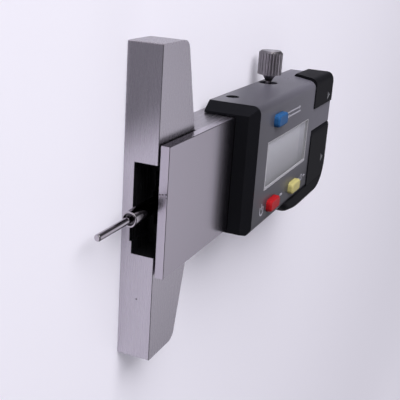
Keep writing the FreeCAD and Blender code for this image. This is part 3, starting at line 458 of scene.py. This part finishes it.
key_red = moulded("key_red", (0.34, 0.010, 0.014), *KEY_SKIN, Specular_IOR_Level=0.1)
key_yellow = moulded("key_yellow", (0.45, 0.40, 0.165), *KEY_SKIN, Specular_IOR_Level=0.1)
print("paint and plastic finishes ready")

# %% [markdown]
# The display is a silver grey film behind a clear window, with no digits on. Its colour holds a
# painted reflection: lighter towards the top, and darker in a margin on the right.

# %% Finishes: display and window
FILM_REFLECTION_LOW, FILM_REFLECTION_HIGH = (0.13, 0.127, 0.152), (0.57, 0.56, 0.64)
MARGIN_WIDTH, MARGIN_SHADE = 8 * MM, (0.80, 0.80, 0.84, 1)


def make_display():
    """Painted reflection on the film: lighter towards the top, and darker in a margin on the right.
    """
    low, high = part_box("window")
    material, tree, shader = new_material("display_film", (0.38, 0.37, 0.42), roughness=0.42)
    place = add(tree, "ShaderNodeTexCoord")
    parts = add(tree, "ShaderNodeSeparateXYZ")
    tree.links.new(place.outputs["Object"], parts.inputs["Vector"])
    rise = add(tree, "ShaderNodeMapRange", From_Min=low.y, From_Max=high.y)
    tree.links.new(parts.outputs["Y"], rise.inputs["Value"])
    film = mix_colour(tree, rise.outputs["Result"], FILM_REFLECTION_LOW, FILM_REFLECTION_HIGH)
    margin = place_mask(tree, (high.x - MARGIN_WIDTH, low.y, 0.0), (high.x + MM, high.y, 1.0),
                        0.8 * MM)
    darker = add(tree, "ShaderNodeMix", data_type="RGBA", blend_type="MULTIPLY")
    darker.inputs[7].default_value = MARGIN_SHADE
    tree.links.new(margin, darker.inputs["Factor"])
    tree.links.new(film, darker.inputs[6])
    tree.links.new(darker.outputs[2], shader.inputs["Base Color"])
    return material


display_film = make_display()
window_clear, _, _ = new_material("window_clear", (0.90, 0.90, 0.92), roughness=0.12, Alpha=0.16)
print("display finishes:", display_film.name, window_clear.name)

# %% [markdown]
# A CAD node comes as loose flat triangles. A merged copy with smooth shading across its round
# faces, and sharp edges kept sharp, takes a highlight as the machined or moulded piece does.

# %% Dress every node
FINISH = {
    "ground_steel": base_steel, "frame_steel": frame_steel, "plate_steel": plate_steel,
    "screw_steel": screw_steel, "beam_steel": beam_steel, "scale_laminate": scale_dark,
    "stop_plastic": stop_black, "chrome": chrome, "brass": brass, "black_gloss": black_gloss,
    "grey_cover": grey_paint, "black_shell": black_shell, "clear_window": window_clear,
    "display": display_film, "holder_plastic": holder_white, "board": board_green,
    "mat_rubber": mat_rubber, "blue_plastic": key_blue, "red_plastic": key_red,
    "yellow_plastic": key_yellow, "cell_metal": cell_metal, "gilt": gilt,
}
SHARP = math.radians(32)


def shade_smooth(work):
    """Smooth shading across round faces, and sharp edges kept sharp."""
    for face in work.faces:
        face.smooth = True
    for edge in work.edges:
        edge.smooth = edge.is_manifold and edge.calc_face_angle() < SHARP


def as_piece(name, work, material, node):
    """Turns a bmesh into a piece with its material that rides with a node's body."""
    mesh = bpy.data.meshes.new(name)
    work.to_mesh(mesh)
    work.free()
    mesh.materials.append(material)
    piece = bpy.data.objects.new(name, mesh)
    scene.collection.objects.link(piece)
    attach(piece, body_of[node])
    return piece


def dressed(node):
    """A merged, smoothly shaded copy that stands for a CAD node."""
    work = bmesh.new()
    work.from_mesh(frame["nodes"][node].data)
    bmesh.ops.remove_doubles(work, verts=work.verts, dist=1e-6)
    shade_smooth(work)
    piece = as_piece(node + "_look", work, FINISH[slot_of[node]], node)
    if "custom_normal" in piece.data.attributes:
        piece.data.attributes.remove(piece.data.attributes["custom_normal"])
    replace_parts(piece, node)
    return piece


TURNED = "needle_holder"
looks = [dressed(node) for node in frame["nodes"] if node != TURNED]
print("dressed", len(looks), "nodes")

# %% [markdown]
# The needle's holder is turned on a lathe, and its thin rounded rim catches the light round a dark
# mouth. Spinning half of its outline round the needle's axis cuts it as the lathe does, and a bevel
# rounds the rim afterwards, which is finer than the chamfer in the CAD model.

# %% The needle holder
def solid_piece(name, work, material, node):
    """Closes a new bmesh, turns its faces outwards and makes a piece of it."""
    bmesh.ops.remove_doubles(work, verts=work.verts, dist=1e-7)
    bmesh.ops.recalc_face_normals(work, faces=work.faces)
    return as_piece(name, work, material, node)


def round_edges(work, place, radius, size, segments):
    """Bevels the ring of edges at one place along the axis, and returns how many there are."""
    edges = [edge for edge in work.edges
             if all(abs(vert.co.x - place) < 1e-6 and abs(vert.co.yz.length - radius) < 1e-6
                    for vert in edge.verts)]
    bmesh.ops.bevel(work, geom=edges, offset=size, affect="EDGES", segments=segments, profile=0.5,
                    material=-1, clamp_overlap=True)
    return len(edges)


front, back = holder_low.x, holder_high.x
sleeve_radius = (holder_high.z - holder_low.z) / 2
shoulder = beam_low.x
seat, mouth_floor = front + 7.0 * MM, front + 0.8 * MM
NEEDLE_BORE, THREAD_RADIUS = 1.095 * MM, 1.25 * MM
outline = [(seat, 0.0), (seat, NEEDLE_BORE), (mouth_floor, NEEDLE_BORE), (mouth_floor, MOUTH),
           (front, MOUTH), (front, sleeve_radius), (shoulder, sleeve_radius),
           (shoulder, THREAD_RADIUS), (back, THREAD_RADIUS), (back, 0.0)]
holder = bmesh.new()
points = [holder.verts.new((x, radius, 0.0)) for x, radius in outline]
edges = [holder.edges.new(pair) for pair in zip(points, points[1:])]
bmesh.ops.spin(holder, geom=points + edges, cent=(0, 0, 0), axis=(1, 0, 0), angle=math.tau,
               steps=64, use_merge=True)
bmesh.ops.remove_doubles(holder, verts=holder.verts, dist=1e-7)
rounded = (round_edges(holder, front, sleeve_radius, 0.3 * MM, 3)
           + round_edges(holder, front, MOUTH, 0.08 * MM, 2))
bmesh.ops.recalc_face_normals(holder, faces=holder.faces)
shade_smooth(holder)
bmesh.ops.translate(holder, verts=holder.verts, vec=(0, 0, axis_z))
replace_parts(solid_piece("needle_holder_turned", holder, holder_chrome, TURNED), TURNED)
print("holder turned, with", rounded, "edges of its rim rounded")

# %% [markdown]
# A few pieces are too fine for the CAD model. The first is the pale rim round the display window.
# A frame is a rectangle whose middle is left open: inset the face, delete the inner one, then
# extrude what remains. A face that stands alone is all boundary, so inset is told to count that,
# and it needs the face's normal, which a new face only has once it is asked for.

# %% The window's rim
def flat_sheet(work, low, high, height):
    """A flat rectangle in a bmesh, from one corner to the other at a height."""
    corners = [(low[0], low[1]), (high[0], low[1]), (high[0], high[1]), (low[0], high[1])]
    face = work.faces.new([work.verts.new((x, y, height)) for x, y in corners])
    face.normal_update()
    return face


def raise_faces(work, faces, thickness):
    """Extrudes flat faces upwards into a plate."""
    raised = bmesh.ops.extrude_face_region(work, geom=faces)
    points = [item for item in raised["geom"] if isinstance(item, bmesh.types.BMVert)]
    bmesh.ops.translate(work, verts=points, vec=(0, 0, thickness))


RIM_WIDTH, WIDER_LEFT, WIDER_BELOW = 0.35 * MM, 0.65 * MM, 0.7 * MM
window_low, window_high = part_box("window")
cover_front = cover_high.z
print_pale, _, _ = new_material("pale_print", (0.40, 0.39, 0.45), roughness=0.5)
rim_pale, _, _ = new_material("pale_rim", (0.39, 0.38, 0.42), roughness=0.45,
                              Specular_IOR_Level=0.3)
rim = bmesh.new()
sheet = flat_sheet(rim, window_low, window_high, window_high.z)
bmesh.ops.inset_region(rim, faces=[sheet], thickness=RIM_WIDTH, use_boundary=True)
ends = [vert for vert in sheet.verts if vert.co.x < window_low.x + 2 * MM]
bmesh.ops.translate(rim, verts=ends, vec=(WIDER_LEFT, 0, 0))
lower = [vert for vert in sheet.verts if vert.co.y < window_low.y + 2 * MM]
bmesh.ops.translate(rim, verts=lower, vec=(0, WIDER_BELOW, 0))
bmesh.ops.delete(rim, geom=[sheet], context="FACES_ONLY")
sides = rim.faces[:]
raise_faces(rim, sides, cover_front - window_high.z + 0.01 * MM)
solid_piece("window_rim", rim, rim_pale, "window")
print("rim", round((window_high.x - window_low.x) / MM, 1), "mm long, of", len(sides), "sides")

# %% [markdown]
# The keys need signs, but no words. A plain set says what each key does: a power sign beside the
# red key, a pair of arrows beside the blue one, and a nought between arrows beside the yellow one.
# Each is placed in millimetres: how far it is from the base's measuring face, and how far across.

# %% Signs beside the keys
PRINT = 0.02 * MM
HEAD_HALF = 0.75
RING_PARTS = 24
START = base_low.x / MM


def bar(work, start, end, width):
    """A printed line from one point to another."""
    first, last = (Vector((START + x, y)) * MM for x, y in (start, end))
    side = (last - first).orthogonal().normalized() * width * MM / 2
    corners = [first - side, last - side, last + side, first + side]
    return work.faces.new([work.verts.new((p.x, p.y, cover_front)) for p in corners])


def head(work, tip, length):
    """A printed arrow head; a negative length turns it round."""
    x, y = START + tip[0], tip[1]
    points = [(x, y), (x - length, y + HEAD_HALF), (x - length, y - HEAD_HALF)]
    return work.faces.new([work.verts.new((x * MM, y * MM, cover_front)) for x, y in points])


def ring(work, middle, radius, width, gap=0):
    """A printed ring, open at the top for a few of its parts."""
    circle = bmesh.ops.create_circle(work, segments=RING_PARTS, radius=radius * MM)
    centre = Vector(((START + middle[0]) * MM, middle[1] * MM, cover_front))
    bmesh.ops.translate(work, verts=circle["verts"], vec=centre)
    edges = sorted({edge for vert in circle["verts"] for edge in vert.link_edges},
                   key=lambda edge: tuple((edge.verts[0].co + edge.verts[1].co).yx))
    wide = bmesh.ops.extrude_edge_only(work, edges=edges[:RING_PARTS - gap])
    inner = [item for item in wide["geom"] if isinstance(item, bmesh.types.BMVert)]
    for vert in inner:
        vert.co = centre + (vert.co - centre) * (1 - width / radius)


signs = bmesh.new()
bar(signs, (88.0, 17.6), (103.6, 17.6), 0.55)
head(signs, (105.4, 17.6), 2.2)
bar(signs, (89.8, 15.9), (105.4, 15.9), 0.55)
head(signs, (88.0, 15.9), -2.2)
ring(signs, (66.2, -16.1), 2.2, 0.6, gap=6)
bar(signs, (66.2, -13.6), (66.2, -15.9), 0.6)
bar(signs, (88.0, -15.9), (91.0, -15.9), 0.9)
bar(signs, (111.9, -15.6), (113.2, -15.6), 0.5)
head(signs, (115.0, -15.6), 1.8)
ring(signs, (117.4, -15.6), 1.5, 0.5)
head(signs, (119.8, -15.6), -1.8)
bar(signs, (121.6, -15.6), (122.9, -15.6), 0.5)
raise_faces(signs, signs.faces[:], PRINT)
loose = [edge for edge in signs.edges if not edge.link_faces]
bmesh.ops.delete(signs, geom=loose, context="EDGES")
solid_piece("key_signs", signs, print_pale, "front_cover")
print("signs printed", PRINT / MM, "mm thick")

# %% [markdown]
# The gauge lies on a pale table. The floor takes the gauge's shadow, and a little of its own
# glow for camera and mirror rays keeps it as pale as the photograph's background. The photograph's
# steel mirrors darker things on the lock screw's side, so mirror rays see the table darker there.

# %% The floor
FLOOR_SIZE = 6.0
floor_shape = bmesh.new()
bmesh.ops.create_grid(floor_shape, x_segments=1, y_segments=1, size=FLOOR_SIZE / 2)
floor_mesh = bpy.data.meshes.new("floor")
floor_shape.to_mesh(floor_mesh)
floor_shape.free()
floor = bpy.data.objects.new("floor", floor_mesh)
scene.collection.objects.link(floor)


def seen_rays(tree):
    """1 for camera, mirror and glass rays, 0 for the rest."""
    rays = add(tree, "ShaderNodeLightPath")
    total = None
    for kind in ("Is Camera Ray", "Is Glossy Ray", "Is Transmission Ray"):
        if total is None:
            total = rays.outputs[kind]
            continue
        most = add(tree, "ShaderNodeMath", operation="MAXIMUM")
        tree.links.new(total, most.inputs[0])
        tree.links.new(rays.outputs[kind], most.inputs[1])
        total = most.outputs["Value"]
    return total


DARK_STOPS = ((0.070, 1.0), (0.073, 0.35), (0.22, 0.35), (0.26, 0.0), (0.34, 0.0), (0.41, 1.0),
              (0.457, 0.9), (0.513, 0.4), (0.56, 0.85), (0.68, 0.85), (0.74, 1.0))


def dark_side(tree):
    """0 to 1 over the part of the table that mirror rays see as dark."""
    place = add(tree, "ShaderNodeTexCoord")
    parts = add(tree, "ShaderNodeSeparateXYZ")
    tree.links.new(place.outputs["Object"], parts.inputs["Vector"])
    fade = add(tree, "ShaderNodeMapRange", From_Min=0.011, From_Max=0.029,
               interpolation_type="SMOOTHSTEP")
    tree.links.new(parts.outputs["Y"], fade.inputs["Value"])
    along = add(tree, "ShaderNodeMapRange", From_Min=-0.1, From_Max=0.2)
    tree.links.new(parts.outputs["X"], along.inputs["Value"])
    ramp = add(tree, "ShaderNodeValToRGB")
    stops = ramp.color_ramp.elements
    stops.remove(stops[1])
    for number, (position, level) in enumerate(DARK_STOPS):
        stop = stops.new(position) if number else stops[0]
        stop.position, stop.color = position, (level, level, level, 1)
    tree.links.new(along.outputs["Result"], ramp.inputs["Fac"])
    dark = add(tree, "ShaderNodeMath", operation="MULTIPLY")
    tree.links.new(fade.outputs["Result"], dark.inputs[0])
    tree.links.new(ramp.outputs["Color"], dark.inputs[1])
    rays = add(tree, "ShaderNodeLightPath")
    seen = add(tree, "ShaderNodeMath", operation="MULTIPLY")
    tree.links.new(dark.outputs["Value"], seen.inputs[0])
    tree.links.new(rays.outputs["Is Glossy Ray"], seen.inputs[1])
    return seen.outputs["Value"]


TABLE_COLOUR, DARK_COLOUR = (0.745, 0.725, 0.80), (0.10, 0.10, 0.11)
GLOW_COLOUR, GLOW = (0.80, 0.77, 0.88, 1), 0.23
table, tree, shader = new_material("pale_table", TABLE_COLOUR, roughness=0.9,
                                   Specular_IOR_Level=0.05)
shade = mix_colour(tree, dark_side(tree), TABLE_COLOUR, DARK_COLOUR)
tree.links.new(shade, shader.inputs["Base Color"])
shader.inputs["Emission Color"].default_value = GLOW_COLOUR
glow = map_range(tree, seen_rays(tree), 0.0, GLOW)
tree.links.new(glow, shader.inputs["Emission Strength"])
floor_mesh.materials.append(table)
print("floor", FLOOR_SIZE, "m wide")

# %% [markdown]
# Two soft panels light the gauge: a large one high on the lock screw's side, and a dim one beyond
# its far end that only lifts the table there. Steel turned towards the large panel would mirror it
# as blank white, so most of its light reaches only rough surfaces, and a weaker twin in the same
# place gives the highlights. Metal mirrors the world too, which is pale in one direction and dim
# elsewhere, because steel that mirrors the same grey all round looks flat.

# %% Lights and world
def panel(name, place, aim, size, power):
    """A square area lamp that faces a point."""
    lamp = bpy.data.lights.new(name, "AREA")
    lamp.size = size
    lamp.energy = power
    stand = bpy.data.objects.new(name, lamp)
    stand.location = place
    stand.rotation_euler = (Vector(aim) - Vector(place)).to_track_quat("-Z", "Y").to_euler()
    scene.collection.objects.link(stand)
    return stand


MIDDLE = (0.0, 0.0, 0.0)
KEY_PLACE, KEY_SIZE = (-0.35, 0.80, 0.50), 0.9
panel("key_shine", KEY_PLACE, MIDDLE, KEY_SIZE, 4.0)
key = panel("key_panel", KEY_PLACE, MIDDLE, KEY_SIZE, 15.0)
fill = panel("fill_panel", (0.80, -0.80, 0.55), (0.6, -0.45, 0.0), 0.6, 1.6)
for lamp in (key, fill):
    lamp.visible_glossy = False

WORLD_COLOUR = (0.80, 0.785, 0.86, 1)
PALE_WAY = Vector((0.67, -0.23, 0.71)).normalized()
LIT, MIRRORED_DIM, MIRRORED_PALE, SEEN = 0.24, 0.10, 0.86, 0.95
world = bpy.data.worlds.new("world")
world.use_nodes = True
scene.world = world
sky = world.node_tree
place = add(sky, "ShaderNodeTexCoord")
toward = add(sky, "ShaderNodeVectorMath", operation="DOT_PRODUCT")
toward.inputs[1].default_value = PALE_WAY
sky.links.new(place.outputs["Generated"], toward.inputs[0])
pale = add(sky, "ShaderNodeMapRange", From_Min=0.855, From_Max=0.925, To_Min=MIRRORED_DIM,
           To_Max=MIRRORED_PALE, interpolation_type="SMOOTHSTEP")
sky.links.new(toward.outputs["Value"], pale.inputs["Value"])
rays = add(sky, "ShaderNodeLightPath")
strength = add(sky, "ShaderNodeMix", data_type="FLOAT")
strength.inputs[2].default_value = LIT
sky.links.new(rays.outputs["Is Glossy Ray"], strength.inputs[0])
sky.links.new(pale.outputs["Result"], strength.inputs[3])
seen = add(sky, "ShaderNodeMix", data_type="FLOAT")
seen.inputs[3].default_value = SEEN
sky.links.new(rays.outputs["Is Camera Ray"], seen.inputs[0])
sky.links.new(strength.outputs[0], seen.inputs[2])
background = sky.nodes["Background"]
background.inputs["Color"].default_value = WORLD_COLOUR
sky.links.new(seen.outputs[0], background.inputs["Strength"])
scene.view_settings.view_transform = "Standard"
print("two panels and a pale world")
